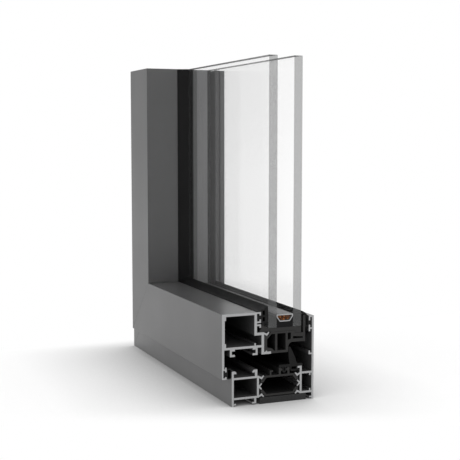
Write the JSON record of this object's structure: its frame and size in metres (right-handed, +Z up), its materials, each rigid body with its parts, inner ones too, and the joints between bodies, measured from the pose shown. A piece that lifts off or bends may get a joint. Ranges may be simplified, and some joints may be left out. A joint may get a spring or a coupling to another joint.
{
  "type": "door frame profile",
  "caption": "Corner of a thermally broken aluminium door: mitred frame and sash sections with gaskets and sealed double glazing, sawn to show the section.",
  "frame": {"origin": "outer corner of the frame at its inner face: X = 0 is the outer edge of the jamb, Y = 0 the room-side face of the frame, Z = 0 the underside of the bottom rail", "axes": "+X along the bottom rail to its sawn end, +Y through the door towards the weather, +Z up the jamb"},
  "size_m": [0.234, 0.0725, 0.249],
  "materials": {
    "painted_aluminium": "satin grey powder coat, bare metal at the sawn ends",
    "polyamide": "matte",
    "foam_strip": "matte",
    "gasket_rubber": "matte",
    "pane_glass": "clear, sawn edges",
    "spacer_metal": "satin",
    "desiccant_beads": "matte",
    "edge_sealant": "matte"
  },
  "bodies": {
    "root": {"frame_inner_shell_rail": "painted_aluminium", "frame_inner_shell_stile": "painted_aluminium", "frame_outer_shell_rail": "painted_aluminium", "frame_outer_shell_stile": "painted_aluminium", "frame_upper_bar_rail": "polyamide", "frame_upper_bar_stile": "polyamide", "frame_lower_bar_rail": "polyamide", "frame_lower_bar_stile": "polyamide", "base_strip_rail": "foam_strip", "base_strip_stile": "foam_strip", "sash_shell_rail": "painted_aluminium", "sash_shell_stile": "painted_aluminium", "sash_core_rail": "polyamide", "sash_core_stile": "polyamide", "glazing_support_rail": "polyamide", "glazing_support_stile": "polyamide", "inner_glazing_gasket_rail": "gasket_rubber", "inner_glazing_gasket_stile": "gasket_rubber", "outer_glazing_gasket_rail": "gasket_rubber", "outer_glazing_gasket_stile": "gasket_rubber", "central_gasket_rail": "gasket_rubber", "central_gasket_stile": "gasket_rubber", "rebate_gasket_rail": "gasket_rubber", "rebate_gasket_stile": "gasket_rubber", "inner_pane": "pane_glass", "outer_pane": "pane_glass", "glass_spacer": "spacer_metal", "desiccant": "desiccant_beads", "edge_seal": "edge_sealant"}
  },
  "joints": []
}
